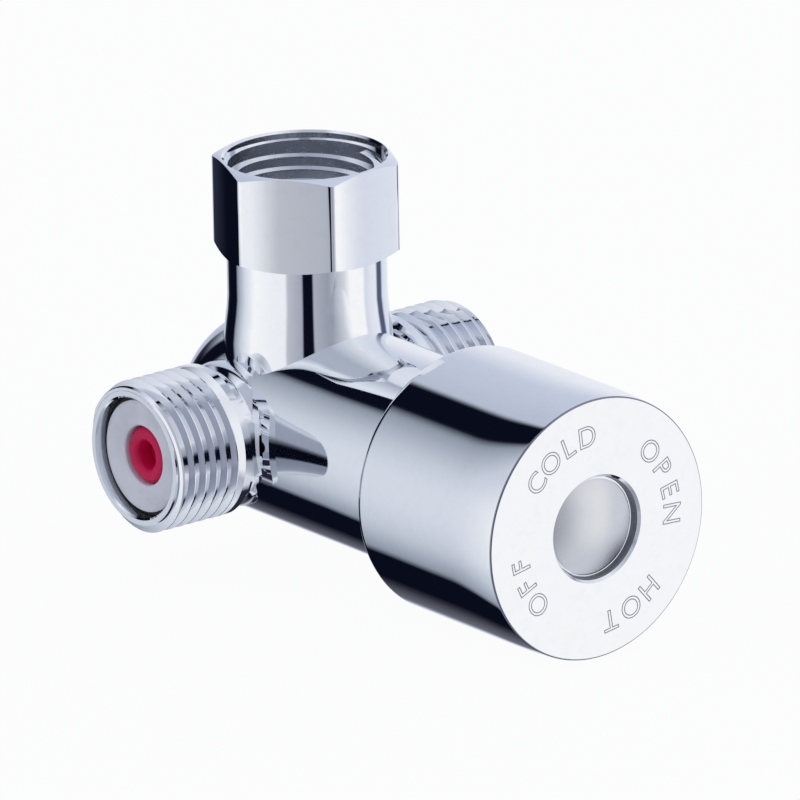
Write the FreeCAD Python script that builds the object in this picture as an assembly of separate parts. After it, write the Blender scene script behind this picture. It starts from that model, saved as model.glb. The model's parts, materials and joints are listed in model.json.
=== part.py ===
import FreeCAD, Part
import math
import os

V = FreeCAD.Vector

# All lengths are in millimetres.  The working frame has its origin where the
# outlet's axis (Z, up) meets the knob's axis (Y, the knob faces -Y).  The hot
# inlet is at -X and the cold inlet at +X.  Everything is lowered at export so
# that the row's origin is the top end of the outlet's female thread.

# Driving dimensions
THREAD_R = 10.4775          # G 1/2 crest radius, male, and root radius, female
BARREL_R = 14.4             # cast barrel
BARREL_FRONT_Y = -34.6      # machined front face, just inside the knob
DOME_Y = 5.3                # centre of the barrel's hemispherical rear end
INLET_Y, INLET_Z = 2.8, -0.3
INLET_END = {"hot": -27.9, "cold": 28.1}
INLET_THREAD_L = 11.2
INLET_RELIEF_R = 9.0        # smooth stub between the thread's shoulder and the barrel
INLET_BORE_R = 8.35
NECK_R = 10.85
NECK_BASE_R, NECK_BASE_Z, NECK_FLARE_Z = 11.5, 12.0, 17.5
HEX_CIRCUM_R = 13.05
HEX_ANGLE = 8.8             # first corner, degrees from +X
HEX_Z0, HEX_Z1 = 24.0, 37.4
MOUTH_R = 10.95             # smooth entry above the outlet's thread
MOUTH_DEPTH = 1.2
OUTLET_THREAD_L = 12.0
OUTLET_BORE_R = 8.5
OUTLET_FLOOR_Z = 12.6

KNOB_R = 18.4
KNOB_FACE_Y = -62.0
KNOB_REAR_Y = -33.7
KNOB_WALL = 2.0
CAP_BORE_R = 7.15
CAP_GAP = 0.25
CAP_RIM_DEPTH = 1.4
KNOB_TRAVEL = 135.0         # degrees each way from mid-range

CARTRIDGE_R = BARREL_R - 3.2    # barrel's machined bore
CARTRIDGE_END_Y = 10.4
TAIL_R, TAIL_END_Y = CARTRIDGE_R - 1.6, 14.2
COLD_PORT = (-4.6, -1.8)    # axial span of each annulus round the cartridge
MIX_PORT = (0.6, 4.8)
HOT_PORT = (7.2, 10.0)
SPOOL_R = 8.0               # lands of the shuttle
SPOOL_TRAVEL = 1.35         # adjuster travel and wax stroke together
RUN = 0.05                  # radial running clearance
FIT = 0.03                  # radial clearance of a seated fit
CORD = 0.58                 # half thickness of a small seal ring

SPINDLE_R = 4.0
SCREW_R = 3.3               # lead screw on the spindle
BONNET_THREAD_R = BARREL_R - 2.4
BONNET_TAIL_Y = -25.0
BONNET_NECK_R = 8.0
BONNET_FRONT_Y = -50.0
GASKET_T = 0.6

# Derived dimensions
ROW_Z = HEX_Z1 - MOUTH_DEPTH
PORT_R = CARTRIDGE_R - 1.6
LINER_FRONT_Y = BONNET_TAIL_Y
LINER_R = CARTRIDGE_R - FIT
LINER_BORE_R = SPOOL_R + RUN
FLANGE_REAR_Y = BARREL_FRONT_Y - GASKET_T
FLANGE_FRONT_Y = FLANGE_REAR_Y - 2.0
HEX_FRONT_Y = FLANGE_FRONT_Y - 5.6
CAP_FLOOR_Y = KNOB_FACE_Y + 5.5
SPINDLE_END_Y = CAP_FLOOR_Y + 2.0


def turned(points, axis):
    """Solid of revolution from (radius, axial position) pairs."""
    if axis == "y":
        pts = [V(r, a, 0) for r, a in points]
        direction = V(0, 1, 0)
    else:
        pts = [V(r, 0, a) for r, a in points]
        direction = V(0, 0, 1)
    face = Part.Face(Part.makePolygon(pts + [pts[0]]))
    return face.revolve(V(0, 0, 0), direction, 360)


def tube(r_out, r_in, a0, a1, axis):
    if r_in <= 0:
        return turned([(0, a0), (r_out, a0), (r_out, a1), (0, a1)], axis)
    return turned([(r_in, a0), (r_out, a0), (r_out, a1), (r_in, a1)], axis)


def rod_x(radius, x0, x1, y=0.0, z=0.0):
    return Part.makeCylinder(radius, x1 - x0, V(x0, y, z), V(1, 0, 0))


def box(x, y, z):
    """Box from three (low, high) spans."""
    return Part.makeBox(x[1] - x[0], y[1] - y[0], z[1] - z[0], V(x[0], y[0], z[0]))


def seal_ring(radius, cord, position, axis):
    direction = V(0, 1, 0) if axis == "y" else V(0, 0, 1)
    return Part.makeTorus(radius, cord, direction * position, direction)


def coil(mean_r, wire_r, start, end, turns, axis):
    """Compression spring whose wire spans exactly from start to end."""
    rise = end - start - 2 * wire_r
    helix = Part.makeHelix(rise / turns, rise, mean_r)
    ring = Part.Wire(Part.makeCircle(wire_r, V(mean_r, 0, 0), V(0, 1, 0)))
    spring = Part.Wire(helix.Edges).makePipeShell([ring], True, True)
    spring.translate(V(0, 0, start + wire_r))
    if axis == "y":
        spring.rotate(V(0, 0, 0), V(1, 0, 0), -90)
    return spring


def hexagon(circum_r, angle, axis_dir, base, height):
    pts = []
    for k in range(6):
        a = math.radians(angle + 60 * k)
        if axis_dir == "z":
            pts.append(V(circum_r * math.cos(a), circum_r * math.sin(a), base))
        else:
            pts.append(V(circum_r * math.cos(a), base, circum_r * math.sin(a)))
    direction = V(0, 0, height) if axis_dir == "z" else V(0, height, 0)
    return Part.Face(Part.makePolygon(pts + [pts[0]])).extrude(direction)


def splines(radius, depth, count, y0, y1):
    pts = []
    for k in range(2 * count):
        r = radius if k % 2 == 0 else radius - depth
        a = math.pi * k / count
        pts.append(V(r * math.cos(a), y0, r * math.sin(a)))
    return Part.Face(Part.makePolygon(pts + [pts[0]])).extrude(V(0, y1 - y0, 0))


def sector(r_in, r_out, y0, y1, centre_deg, width_deg):
    """Part of a ring about Y, centred on an angle measured from +X towards +Z."""
    ring = tube(r_out, r_in, y0, y1, "y")
    half = math.radians(width_deg / 2)
    mid = math.radians(centre_deg)
    far = 2 * r_out / math.cos(half)
    pts = [V(0, y0 - 1, 0)]
    for a in (mid - half, mid + half):
        pts.append(V(far * math.cos(a), y0 - 1, far * math.sin(a)))
    wedge = Part.Face(Part.makePolygon(pts + [pts[0]])).extrude(V(0, y1 - y0 + 2, 0))
    return ring.common(wedge)


def valve_body():
    barrel = tube(BARREL_R, 0, BARREL_FRONT_Y, DOME_Y, "y")
    rim = [e for e in barrel.Edges if abs(e.CenterOfMass.y - BARREL_FRONT_Y) < 0.01]
    barrel = barrel.makeFillet(0.7, rim[:1])
    dome = Part.makeSphere(BARREL_R, V(0, DOME_Y, 0))
    dome = dome.common(box((-20, 20), (DOME_Y, 25), (-20, 20)))

    neck = turned([(0, 0), (NECK_BASE_R, 0), (NECK_BASE_R, NECK_BASE_Z),
                   (NECK_R, NECK_FLARE_Z), (NECK_R, HEX_Z0 + 0.5), (0, HEX_Z0 + 0.5)], "z")
    hexa = hexagon(HEX_CIRCUM_R, HEX_ANGLE, "z", HEX_Z0, HEX_Z1 - HEX_Z0)
    flat_r = HEX_CIRCUM_R * math.cos(math.pi / 6)
    turn = 0.45 * (HEX_CIRCUM_R - flat_r)
    envelope = turned([(0, HEX_Z0), (flat_r, HEX_Z0), (HEX_CIRCUM_R, HEX_Z0 + turn),
                       (HEX_CIRCUM_R, HEX_Z1 - turn), (flat_r, HEX_Z1), (0, HEX_Z1)], "z")
    solid = barrel.fuse([dome, neck, hexa.common(envelope)])

    for side, end in INLET_END.items():
        s = 1 if end > 0 else -1
        shoulder = abs(end) - INLET_THREAD_L
        stub = turned([(0, 0), (INLET_RELIEF_R + 1.0, 0), (INLET_RELIEF_R + 1.0, shoulder - 4.2),
                       (INLET_RELIEF_R, shoulder - 2.9), (INLET_RELIEF_R, shoulder - 1.4),
                       (THREAD_R, shoulder - 0.9), (THREAD_R, abs(end) - 0.75),
                       (THREAD_R - 0.75, abs(end)), (0, abs(end))], "z")
        stub.rotate(V(0, 0, 0), V(0, 1, 0), 90 * s)
        stub.translate(V(0, INLET_Y, INLET_Z))
        solid = solid.fuse(stub)

    # Cartridge bore from the front, stepping down inside the domed end
    bore = turned([(0, BARREL_FRONT_Y - 1), (BONNET_THREAD_R + 0.6, BARREL_FRONT_Y - 1),
                   (BONNET_THREAD_R + 0.6, BARREL_FRONT_Y + 0.0),
                   (BONNET_THREAD_R, BARREL_FRONT_Y + 0.6),
                   (BONNET_THREAD_R, BONNET_TAIL_Y + 0.5),
                   (CARTRIDGE_R, BONNET_TAIL_Y + 1.3), (CARTRIDGE_R, CARTRIDGE_END_Y),
                   (TAIL_R, CARTRIDGE_END_Y), (TAIL_R, TAIL_END_Y - 1.1),
                   (TAIL_R - 1.1, TAIL_END_Y), (0, TAIL_END_Y)], "y")
    cuts = [bore]

    # Outlet: smooth mouth, thread wall, bore, then a slot into the mixed annulus
    outlet = turned([(0, OUTLET_FLOOR_Z), (OUTLET_BORE_R, OUTLET_FLOOR_Z),
                     (OUTLET_BORE_R, ROW_Z - OUTLET_THREAD_L - 1.0),
                     (THREAD_R, ROW_Z - OUTLET_THREAD_L), (THREAD_R, ROW_Z),
                     (MOUTH_R, ROW_Z), (MOUTH_R, HEX_Z1 - 0.3), (MOUTH_R + 0.3, HEX_Z1),
                     (MOUTH_R + 0.3, HEX_Z1 + 1), (0, HEX_Z1 + 1)], "z")
    slot = tube(OUTLET_BORE_R - 0.4, 0, CARTRIDGE_R - 6, OUTLET_FLOOR_Z + 1, "z")
    cuts += [outlet, slot.common(box((-6, 6), MIX_PORT, (0, 20)))]

    # Inlets: seal counterbore, check-valve bore, then a slot into the hot or cold annulus
    for side, end in INLET_END.items():
        s = 1 if end > 0 else -1
        port = HOT_PORT if side == "hot" else COLD_PORT
        lo, hi = sorted((end + s, end - s * CHECK["shoulder"]))
        cuts.append(rod_x(INLET_BORE_R, lo, hi, INLET_Y, INLET_Z))
        floor_x = abs(end) - CHECK["bore_depth"]
        lo, hi = sorted((end, s * floor_x))
        cuts.append(rod_x(CHECK["bore_r"], lo, hi, INLET_Y, INLET_Z))
        lo, hi = sorted((s * (floor_x + 0.5), s * 6.0))
        slot = rod_x(CHECK["bore_r"] - 0.1, lo, hi, INLET_Y, INLET_Z)
        cuts.append(slot.common(box((lo, hi), port, (-20, 20))))
    for tool in cuts:
        solid = solid.cut(tool)
    return solid.removeSplitter()


# Check valves.  Positions run inwards from the end face of the inlet.
CHECK = {
    "bore_depth": 15.5,
    "face": 1.2,            # front face, below the inlet's end
    "shoulder": 3.2,        # step that the flange seats on
    "flange_r": 7.75,
    "bore_r": 7.3,
    "inner_r": 5.6,
    "end": 13.0,
    "opening_r": 4.15,
    "seat": 3.9,            # inner face that the poppet closes on
    "nose": 1.8,
    "head_r": 5.0,
    "head_t": 1.4,
    "stem_r": 1.2,
    "stem_end": 11.6,
    "guide": 10.2,
    "travel": 2.3,
}


def to_inlet(shape, side):
    """Turn a piece built along +Z (inwards) into its inlet."""
    end = INLET_END[side]
    shape.rotate(V(0, 0, 0), V(0, 1, 0), 90 if side == "hot" else -90)
    shape.translate(V(end, INLET_Y, INLET_Z))
    return shape


def check_housing():
    c = CHECK
    return turned([(c["opening_r"], c["face"] + 0.5), (c["opening_r"] + 0.5, c["face"] + 0.35),
                   (c["flange_r"] - 0.9, c["face"]), (c["flange_r"] - 0.2, c["face"]),
                   (c["flange_r"], c["face"] + 0.2), (c["flange_r"], c["shoulder"]),
                   (c["bore_r"] - FIT, c["shoulder"]), (c["bore_r"] - FIT, c["end"]),
                   (c["inner_r"], c["end"]), (c["inner_r"], c["seat"]),
                   (c["opening_r"], c["seat"])], "z")


def check_seal():
    c = CHECK
    return tube(INLET_BORE_R - FIT, c["flange_r"] + FIT, c["face"] + 0.6, c["shoulder"], "z")


def check_poppet():
    c = CHECK
    nose_r = c["opening_r"] - 0.2
    body = turned([(0, c["nose"] + 2.6), (1.9, c["nose"] + 2.6), (2.0, c["nose"] + 0.5),
                   (2.5, c["nose"]), (nose_r - 0.9, c["nose"]), (nose_r, c["nose"] + 0.9),
                   (nose_r, c["seat"]), (c["head_r"], c["seat"]),
                   (c["head_r"], c["seat"] + c["head_t"]), (c["stem_r"], c["seat"] + c["head_t"]),
                   (c["stem_r"], c["stem_end"]), (0, c["stem_end"])], "z")
    return body


def check_spring():
    c = CHECK
    return coil(3.4, 0.25, c["seat"] + c["head_t"], c["guide"], 4, "z")


def check_guide():
    c = CHECK
    end = c["end"] - 0.4
    hub = tube(2.7, c["stem_r"] + RUN, c["guide"], end, "z")
    ring = tube(c["inner_r"] - FIT, c["inner_r"] - 1.1, c["guide"] + 0.6, end, "z")
    spring_seat = tube(4.1, 2.5, c["guide"], c["guide"] + 0.6, "z")
    guide = hub.fuse([ring, spring_seat])
    for k in range(3):
        arm = box((2.4, c["inner_r"] - 0.8), (-0.7, 0.7), (c["guide"] + 0.2, end))
        arm.rotate(V(0, 0, 0), V(0, 0, 1), 30 + 120 * k)
        guide = guide.fuse(arm)
    return guide.removeSplitter()


def bonnet():
    """Screws into the barrel, carries the spindle and the knob's fixed stop."""
    outer = turned([(0, BONNET_FRONT_Y), (BONNET_NECK_R - 0.4, BONNET_FRONT_Y),
                    (BONNET_NECK_R, BONNET_FRONT_Y + 0.4), (BONNET_NECK_R, HEX_FRONT_Y + 0.5),
                    (BARREL_R - 0.9, HEX_FRONT_Y + 0.5), (BARREL_R - 0.9, FLANGE_REAR_Y),
                    (BONNET_THREAD_R - FIT, FLANGE_REAR_Y), (BONNET_THREAD_R - FIT, BONNET_TAIL_Y),
                    (0, BONNET_TAIL_Y)], "y")
    flats = hexagon(BARREL_R - 0.6, 0, "y", HEX_FRONT_Y, FLANGE_FRONT_Y - HEX_FRONT_Y)
    keep = flats.fuse([tube(BARREL_R + 1, 0, FLANGE_FRONT_Y, BONNET_TAIL_Y + 1, "y"),
                       tube(BONNET_NECK_R + 1, 0, BONNET_FRONT_Y - 1, HEX_FRONT_Y + 0.5, "y")])
    solid = outer.common(keep)
    stop = sector(BONNET_NECK_R + 1, STOP_OUT_R, HEX_FRONT_Y + 1.0, FLANGE_FRONT_Y + 0.5,
                  90, STOP_WIDTH_FIXED)
    solid = solid.fuse(stop)
    bore = tube(SPINDLE_R + RUN, 0, BONNET_FRONT_Y - 1, COLLAR_FRONT_Y + 0.1, "y")
    cavity = turned([(0, COLLAR_FRONT_Y), (COLLAR_R + 0.4, COLLAR_FRONT_Y),
                     (COLLAR_R + 0.4, BONNET_TAIL_Y + 1), (0, BONNET_TAIL_Y + 1)], "y")
    return solid.cut(bore).cut(cavity).removeSplitter()


# Knob stops.  Both lugs together take up what the travel leaves of the circle.
STOP_OUT_R = KNOB_R - KNOB_WALL - 0.4
STOP_WIDTH_FIXED = 56.0
STOP_WIDTH_KNOB = 2 * (180.0 - KNOB_TRAVEL) - STOP_WIDTH_FIXED - 2.0

# Spindle collar, held between the thrust washer and the bonnet's clip
WASHER_T = 0.8
COLLAR_FRONT_Y = FLANGE_REAR_Y + 1.0
COLLAR_R = 7.0
COLLAR_T = 2.0
CLIP_T = 0.7
SEAL_Y = (HEX_FRONT_Y - 2.0, HEX_FRONT_Y + 2.0)


def bonnet_gasket():
    return tube(BARREL_R - 1.0, BONNET_THREAD_R + FIT, FLANGE_REAR_Y, BARREL_FRONT_Y, "y")


def spindle():
    collar_y = COLLAR_FRONT_Y + WASHER_T
    clip_y = BONNET_FRONT_Y - CLIP_T
    groove_r = SPINDLE_R - 2 * CORD - 0.02
    points = [(0, clip_y - 0.3), (SPINDLE_R, clip_y - 0.3), (SPINDLE_R, clip_y),
              (SPINDLE_R - 0.8, clip_y), (SPINDLE_R - 0.8, BONNET_FRONT_Y),
              (SPINDLE_R, BONNET_FRONT_Y)]
    for y in SEAL_Y:
        points += [(SPINDLE_R, y - CORD - 0.1), (groove_r, y - CORD - 0.1),
                   (groove_r, y + CORD + 0.1), (SPINDLE_R, y + CORD + 0.1)]
    points += [(SPINDLE_R, collar_y), (COLLAR_R, collar_y), (COLLAR_R, collar_y + COLLAR_T),
               (SCREW_R, collar_y + COLLAR_T), (SCREW_R, SPINDLE_TIP_Y - 0.5),
               (SCREW_R - 0.5, SPINDLE_TIP_Y), (0, SPINDLE_TIP_Y)]
    body = turned(points, "y")
    drive = splines(SPINDLE_R - 0.05, 0.45, 18, SPINDLE_END_Y, clip_y)
    hole = tube(KNOB_SCREW_R, 0, SPINDLE_END_Y - 1, SPINDLE_END_Y + 7.5, "y")
    return body.fuse(drive).cut(hole).removeSplitter()


def spindle_o_rings():
    rings = [seal_ring(SPINDLE_R - CORD, CORD, y, "y") for y in SEAL_Y]
    return Part.makeCompound(rings)


def thrust_washer():
    return tube(COLLAR_R, SPINDLE_R + 0.1, COLLAR_FRONT_Y, COLLAR_FRONT_Y + WASHER_T, "y")


def spindle_clip():
    """Open clip in the spindle's groove, against the bonnet's front."""
    ring = tube(SPINDLE_R + 1.6, SPINDLE_R - 0.8 + 0.02, BONNET_FRONT_Y - CLIP_T, BONNET_FRONT_Y, "y")
    gap = box((-2.2, 2.2), (BONNET_FRONT_Y - 2, BONNET_FRONT_Y + 1), (-10, 0))
    return ring.cut(gap)


# Adjuster: a nut that cannot turn, moved along the barrel by the lead screw
ADJUSTER = {"front": -22.6, "floor": -19.4, "rear": -9.6, "bore_r": 5.4, "key_r": 9.2}
SPINDLE_TIP_Y = ADJUSTER["floor"] + 1.2
CLIP_FRONT_Y = ADJUSTER["rear"] - 1.3
OVERTRAVEL_CLIP_T = 0.7
CAP_T = 1.1


def adjuster_nut():
    a = ADJUSTER
    groove_r = a["bore_r"] + 0.8
    solid = turned([(SCREW_R + RUN, a["front"]), (SPOOL_R, a["front"]), (SPOOL_R, a["rear"]),
                    (a["bore_r"], a["rear"]), (a["bore_r"], CLIP_FRONT_Y + OVERTRAVEL_CLIP_T),
                    (groove_r, CLIP_FRONT_Y + OVERTRAVEL_CLIP_T), (groove_r, CLIP_FRONT_Y),
                    (a["bore_r"], CLIP_FRONT_Y), (a["bore_r"], a["floor"]),
                    (SCREW_R + RUN, a["floor"])], "y")
    for s in (1, -1):
        key = box(sorted((s * (SPOOL_R - 1.0), s * a["key_r"])), (a["front"], a["floor"]), (-1.0, 1.0))
        solid = solid.fuse(key)
    return solid.removeSplitter()


def overtravel_spring():
    return coil(4.5, 0.45, ADJUSTER["floor"], CLIP_FRONT_Y - CAP_T, 5, "y")


def overtravel_cap():
    y = CLIP_FRONT_Y
    return turned([(0, y - CAP_T - 2.4), (3.2, y - CAP_T - 2.4), (3.6, y - CAP_T),
                   (ADJUSTER["bore_r"] - 0.1, y - CAP_T), (ADJUSTER["bore_r"] - 0.1, y), (0, y)], "y")


def overtravel_clip():
    ring = tube(ADJUSTER["bore_r"] + 0.7, 4.4, CLIP_FRONT_Y, CLIP_FRONT_Y + OVERTRAVEL_CLIP_T, "y")
    return ring.cut(box((-1.2, 1.2), (CLIP_FRONT_Y - 1, CLIP_FRONT_Y + 2), (0, 10)))


# Wax capsule and the shuttle that it carries
WAX = {"pin_r": 1.0, "pin_end": -4.0, "front": -7.4, "blind": -2.9, "neck_r": 1.9,
       "flange_y": -2.2, "flange_t": 1.2, "bulb_r": 3.0, "web": 5.6, "tail_r": 2.1}
WEB_T = 1.4
SHUTTLE_BORE_R = 4.6


def wax_piston():
    return tube(WAX["pin_r"], 0, CLIP_FRONT_Y, WAX["pin_end"], "y")


def wax_capsule():
    w = WAX
    bulb_y = w["flange_y"] + w["flange_t"]
    return turned([(w["pin_r"] + RUN, w["front"]), (w["neck_r"], w["front"]),
                   (w["neck_r"], w["flange_y"]), (SHUTTLE_BORE_R - FIT, w["flange_y"]),
                   (SHUTTLE_BORE_R - FIT, bulb_y), (w["bulb_r"], bulb_y), (w["bulb_r"], w["web"]),
                   (w["tail_r"], w["web"]), (w["tail_r"], w["web"] + WEB_T), (0, w["web"] + WEB_T),
                   (0, w["blind"]), (w["pin_r"] + RUN, w["blind"])], "y")


def shuttle():
    """Spool with two lands: the groove between them mixes hot and cold."""
    cold_mid = sum(COLD_PORT) / 2
    hot_mid = sum(HOT_PORT) / 2
    front, rear = COLD_PORT[0] - SPOOL_TRAVEL + 0.1, HOT_PORT[1] + SPOOL_TRAVEL - 0.1
    core = 5.7
    web = WAX["web"]
    solid = turned([(SHUTTLE_BORE_R, front), (SPOOL_R, front), (SPOOL_R, cold_mid),
                    (core, cold_mid + 0.8), (core, hot_mid - 0.8), (SPOOL_R, hot_mid),
                    (SPOOL_R, rear), (SHUTTLE_BORE_R + 0.6, rear), (SHUTTLE_BORE_R + 0.6, web + WEB_T),
                    (WAX["tail_r"] + FIT, web + WEB_T), (WAX["tail_r"] + FIT, web),
                    (SHUTTLE_BORE_R, web)], "y")
    mid = sum(MIX_PORT) / 2
    for k in range(6):
        hole = Part.makeCylinder(1.3, 9, V(0, mid, 0), V(1, 0, 0))
        hole.rotate(V(0, mid, 0), V(0, 1, 0), 60 * k)
        solid = solid.cut(hole)
    return solid.removeSplitter()


def return_spring():
    return coil(3.95, 0.38, WAX["web"] + WEB_T, END_CAP_Y, 3.5, "y")


END_CAP_Y = HOT_PORT[1] + 2 * SPOOL_TRAVEL + 0.1
END_CAP_T = 1.2


def cartridge_liner():
    """Ported sleeve with a waisted annulus at each port and grooves for the seal rings."""
    tail_r = TAIL_R - FIT
    y_end = END_CAP_Y
    points = [(LINER_BORE_R, LINER_FRONT_Y), (LINER_R, LINER_FRONT_Y)]
    for ring_y in LINER_SEALS[:1]:
        points += seal_groove(ring_y)
    points += [(LINER_R, COLD_PORT[0]), (PORT_R, COLD_PORT[0]), (PORT_R, COLD_PORT[1]),
               (LINER_R, COLD_PORT[1])] + seal_groove(LINER_SEALS[1])
    points += [(LINER_R, MIX_PORT[0]), (PORT_R, MIX_PORT[0]), (PORT_R, MIX_PORT[1]),
               (LINER_R, MIX_PORT[1])] + seal_groove(LINER_SEALS[2])
    points += [(LINER_R, HOT_PORT[0]), (PORT_R, HOT_PORT[0]), (PORT_R, HOT_PORT[1]),
               (LINER_R, HOT_PORT[1]), (LINER_R, CARTRIDGE_END_Y), (tail_r, CARTRIDGE_END_Y),
               (tail_r, y_end), (LINER_BORE_R, y_end)]
    sleeve = turned(points, "y")
    for lo, hi in (COLD_PORT, MIX_PORT, HOT_PORT):
        for k in range(4):
            window = box((LINER_BORE_R - 1, PORT_R + 1), (lo + 0.2, hi - 0.2), (-2.6, 2.6))
            window.rotate(V(0, 0, 0), V(0, 1, 0), 45 + 90 * k)
            sleeve = sleeve.cut(window)
    for s in (1, -1):
        keyway = box(sorted((s * 6.0, s * (ADJUSTER["key_r"] + 0.2))), (LINER_FRONT_Y - 1, -17.0),
                     (-1.1, 1.1))
        sleeve = sleeve.cut(keyway)
    return sleeve.removeSplitter()


LINER_SEALS = (COLD_PORT[0] - 2.2, (COLD_PORT[1] + MIX_PORT[0]) / 2, (MIX_PORT[1] + HOT_PORT[0]) / 2)
LINER_SEAL_R = CARTRIDGE_R - 0.01 - CORD


def seal_groove(y):
    floor_r = LINER_SEAL_R - CORD - 0.01
    half = CORD + 0.1
    return [(LINER_R, y - half), (floor_r, y - half), (floor_r, y + half), (LINER_R, y + half)]


def cartridge_o_rings():
    return Part.makeCompound([seal_ring(LINER_SEAL_R, CORD, y, "y") for y in LINER_SEALS])


def cartridge_end_cap():
    cap = turned([(0, END_CAP_Y), (TAIL_R - 1.6, END_CAP_Y), (TAIL_R - 1.6, END_CAP_Y + END_CAP_T - 0.6),
                  (TAIL_R - 2.2, END_CAP_Y + END_CAP_T), (0, END_CAP_Y + END_CAP_T)], "y")
    boss = tube(3.3, 1.6, END_CAP_Y - 1.0, END_CAP_Y, "y")
    return cap.fuse(boss).removeSplitter()


KNOB_SCREW_R = 2.0
BOSS_R = CAP_BORE_R + 1.9
BOSS_REAR_Y = BONNET_FRONT_Y - 1.3


def knob():
    inner = KNOB_R - KNOB_WALL
    face = KNOB_FACE_Y
    solid = turned([(CAP_BORE_R + 0.4, face), (KNOB_R - 0.35, face), (KNOB_R, face + 0.35),
                    (KNOB_R, KNOB_REAR_Y - 0.3), (KNOB_R - 0.3, KNOB_REAR_Y), (inner, KNOB_REAR_Y),
                    (inner, face + 4.2), (inner - 1.2, face + 3.0), (BOSS_R, face + 3.0),
                    (BOSS_R, BOSS_REAR_Y), (SPINDLE_R + 0.15, BOSS_REAR_Y),
                    (SPINDLE_R + 0.15, SPINDLE_END_Y), (KNOB_SCREW_R + 0.2, SPINDLE_END_Y),
                    (KNOB_SCREW_R + 0.2, CAP_FLOOR_Y), (CAP_BORE_R, CAP_FLOOR_Y),
                    (CAP_BORE_R, face + 0.4)], "y")
    teeth = tube(SPINDLE_R + 0.5, 0, SPINDLE_END_Y, BOSS_REAR_Y, "y")
    teeth = teeth.cut(splines(SPINDLE_R, 0.45, 18, SPINDLE_END_Y - 1, BOSS_REAR_Y + 1))
    lug = sector(STOP_IN_R, inner + 0.5, HEX_FRONT_Y + 1.0, FLANGE_FRONT_Y - 0.2, -90, STOP_WIDTH_KNOB)
    for k in range(6):
        a = math.radians(30 + 60 * k)
        rib = box((BOSS_R - 0.5, inner + 0.5), (face + 2.5, face + 6.5), (-0.6, 0.6))
        rib.rotate(V(0, 0, 0), V(0, 1, 0), math.degrees(a))
        solid = solid.fuse(rib)
    return solid.fuse([teeth, lug]).removeSplitter()


STOP_IN_R = BARREL_R + 0.2


def knob_screw():
    head_y = CAP_FLOOR_Y - 1.8
    head = turned([(0, head_y), (2.6, head_y), (3.7, head_y + 0.9), (3.7, CAP_FLOOR_Y),
                   (KNOB_SCREW_R - FIT, CAP_FLOOR_Y), (KNOB_SCREW_R - FIT, SPINDLE_END_Y + 6.6),
                   (0, SPINDLE_END_Y + 7.2)], "y")
    for angle in (0, 90):
        slot = box((-1.9, 1.9), (head_y - 0.5, head_y + 1.0), (-0.35, 0.35))
        slot.rotate(V(0, 0, 0), V(0, 1, 0), angle + 45)
        head = head.cut(slot)
    return head


def knob_cap():
    """Domed cover: the dome stands proud of its rim and stops flush with the knob's face."""
    r = CAP_BORE_R - CAP_GAP
    rim_y = KNOB_FACE_Y + CAP_RIM_DEPTH
    ball = (r * r + CAP_RIM_DEPTH * CAP_RIM_DEPTH) / (2 * CAP_RIM_DEPTH)
    blank = tube(r, 0, KNOB_FACE_Y - 1, rim_y + 0.9, "y")
    dome = Part.makeSphere(ball, V(0, KNOB_FACE_Y + ball, 0)).common(blank)
    skirt = tube(r, r - 1.0, rim_y + 0.5, CAP_FLOOR_Y, "y")
    bead = turned([(r - 0.5, CAP_FLOOR_Y - 2.2), (r, CAP_FLOOR_Y - 2.2),
                   (CAP_BORE_R - FIT, CAP_FLOOR_Y - 1.6), (r, CAP_FLOOR_Y - 1.0),
                   (r - 0.5, CAP_FLOOR_Y - 1.0)], "y")
    return dome.fuse([skirt, bead]).removeSplitter()


def main():
    pieces = {
        "valve_body": valve_body(), "bonnet": bonnet(), "bonnet_gasket": bonnet_gasket(),
        "spindle": spindle(), "spindle_o_rings": spindle_o_rings(),
        "thrust_washer": thrust_washer(), "spindle_clip": spindle_clip(),
        "adjuster_nut": adjuster_nut(), "overtravel_spring": overtravel_spring(),
        "overtravel_cap": overtravel_cap(), "overtravel_clip": overtravel_clip(),
        "wax_piston": wax_piston(), "wax_capsule": wax_capsule(), "shuttle": shuttle(),
        "return_spring": return_spring(), "cartridge_liner": cartridge_liner(),
        "cartridge_end_cap": cartridge_end_cap(), "cartridge_o_rings": cartridge_o_rings(),
        "knob": knob(), "knob_screw": knob_screw(), "knob_cap": knob_cap(),
    }
    for side in ("hot", "cold"):
        for name, make in (("housing", check_housing), ("seal", check_seal),
                           ("poppet", check_poppet), ("spring", check_spring),
                           ("guide", check_guide)):
            pieces[f"{side}_check_{name}"] = to_inlet(make(), side)
    os.makedirs("parts", exist_ok=True)
    for name, shape in pieces.items():
        shape.translate(V(0, 0, -ROW_Z))
        shape.exportStep(f"parts/{name}.step")
        print(name, len(shape.Solids), shape.isValid(), round(shape.Volume, 1))


main()
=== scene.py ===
import json
import math

import bpy
from bpy.props import FloatProperty, FloatVectorProperty, PointerProperty
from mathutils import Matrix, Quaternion, Vector


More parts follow.
